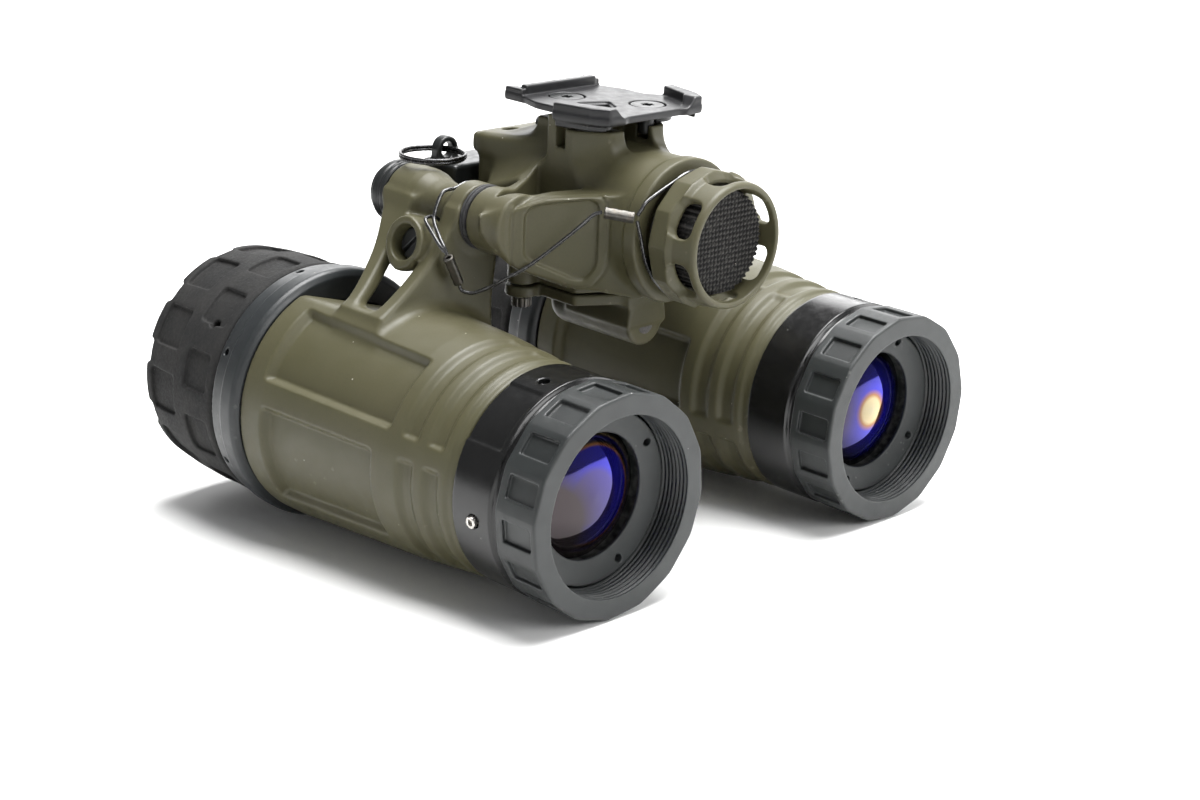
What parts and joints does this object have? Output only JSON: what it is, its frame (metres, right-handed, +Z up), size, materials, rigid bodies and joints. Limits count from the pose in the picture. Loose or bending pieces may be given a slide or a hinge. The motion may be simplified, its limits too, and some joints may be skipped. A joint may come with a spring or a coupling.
{
  "type": "night vision binoculars",
  "caption": "Articulating night vision binoculars: olive tube pods hinged to a bridge with a battery housing, a helmet-mount shoe and a wire tether for the battery cap.",
  "frame": {"origin": "on the ground under the middle of the object", "axes": "+X to the right-hand pod seen from the eyepieces, +Y from the objectives to the eyepieces, +Z up"},
  "size_m": [0.1344, 0.1186, 0.0915],
  "materials": {
    "olive_paint": "satin olive-green coating over machined aluminium",
    "black_anodised": "satin black",
    "gloss_black": "glossy black",
    "black_plastic": "fine matte black",
    "rubber": "matte dark grey",
    "steel": "bare, slightly worn",
    "brass": "dull",
    "coated_glass": "purple anti-reflection coating",
    "battery_wrap": "printed film",
    "circuit": "solder mask",
    "wire_coat": "clear-coated dark wire"
  },
  "bodies": {
    "bridge": {"bridge_housing": "olive_paint", "bottom_cover": "olive_paint", "left_cover_screw": "steel", "right_cover_screw": "steel", "cap_seal": "rubber", "battery": "battery_wrap", "contact_plate": "brass", "circuit_board": "circuit", "mount_shoe": "black_plastic", "shoe_screw_front": "black_anodised", "shoe_screw_rear": "black_anodised", "shoe_post_left": "black_anodised", "shoe_post_right": "black_anodised", "rear_bracket": "black_anodised", "left_hinge_pin": "steel", "right_hinge_pin": "steel", "left_hinge_screw": "brass", "right_hinge_screw": "brass", "left_hinge_seal": "rubber", "right_hinge_seal": "rubber", "tether_wire": "wire_coat", "cap_loop": "wire_coat", "cap_ferrule": "steel"},
    "left_pod": {"left_pod_housing": "olive_paint", "left_clamp_ring": "gloss_black", "left_clamp_screw": "steel", "left_arm_screw": "black_anodised", "left_intensifier_tube": "black_plastic", "left_flange_ring": "black_plastic", "hinge_ferrule": "steel", "hinge_loop": "wire_coat"},
    "left_objective": {"left_focus_ring": "black_anodised", "left_lens_retainer": "black_anodised", "left_objective_lens": "coated_glass", "left_objective_barrel": "black_anodised"},
    "left_eyepiece": {"left_eyepiece_grip": "rubber", "left_eyepiece_lens": "coated_glass"},
    "right_pod": {"right_pod_housing": "olive_paint", "right_clamp_ring": "gloss_black", "right_clamp_screw": "steel", "right_arm_screw": "black_anodised", "right_intensifier_tube": "black_plastic", "right_flange_ring": "black_plastic"},
    "right_objective": {"right_focus_ring": "black_anodised", "right_lens_retainer": "black_anodised", "right_objective_lens": "coated_glass", "right_objective_barrel": "black_anodised"},
    "right_eyepiece": {"right_eyepiece_grip": "rubber", "right_eyepiece_lens": "coated_glass"},
    "battery_cap": {"battery_cap": "olive_paint", "cap_pad": "rubber"},
    "split_ring": {"split_ring": "steel"},
    "power_knob": {"power_knob": "black_plastic"}
  },
  "joints": [
    {"name": "left_pod_hinge", "type": "hinge", "parent": "bridge", "child": "left_pod", "pos_m": [-0.025, 0.00875, 0.0676], "axis": [0, 1, 0], "range_deg": [-16, 70]},
    {"name": "left_focus_turn", "type": "hinge", "parent": "left_pod", "child": "left_objective", "pos_m": [-0.0406, -0.05325, 0.0266], "axis": [0, -1, 0], "range_deg": [-80, 80]},
    {"name": "left_eyepiece_turn", "type": "hinge", "parent": "left_pod", "child": "left_eyepiece", "pos_m": [-0.0406, 0.04575, 0.0266], "axis": [0, 1, 0], "range_deg": [-60, 60]},
    {"name": "right_pod_hinge", "type": "hinge", "parent": "bridge", "child": "right_pod", "pos_m": [0.025, 0.00875, 0.0676], "axis": [0, -1, 0], "range_deg": [-16, 70]},
    {"name": "right_focus_turn", "type": "hinge", "parent": "right_pod", "child": "right_objective", "pos_m": [0.0406, -0.05325, 0.0266], "axis": [0, -1, 0], "range_deg": [-80, 80]},
    {"name": "right_eyepiece_turn", "type": "hinge", "parent": "right_pod", "child": "right_eyepiece", "pos_m": [0.0406, 0.04575, 0.0266], "axis": [0, 1, 0], "range_deg": [-60, 60]},
    {"name": "cap_turn", "type": "hinge", "parent": "bridge", "child": "battery_cap", "pos_m": [0, -0.04325, 0.0674], "axis": [0, -1, 0], "range_deg": [-120, 0]},
    {"name": "ring_swing", "type": "hinge", "parent": "bridge", "child": "split_ring", "pos_m": [-0.0146, 0.02155, 0.0756], "axis": [0, 1, 0], "range_deg": [0, 90]},
    {"name": "knob_turn", "type": "hinge", "parent": "bridge", "child": "power_knob", "pos_m": [0.001, 0.00635, 0.082], "axis": [0, 0, 1], "range_deg": [-45, 45]}
  ]
}
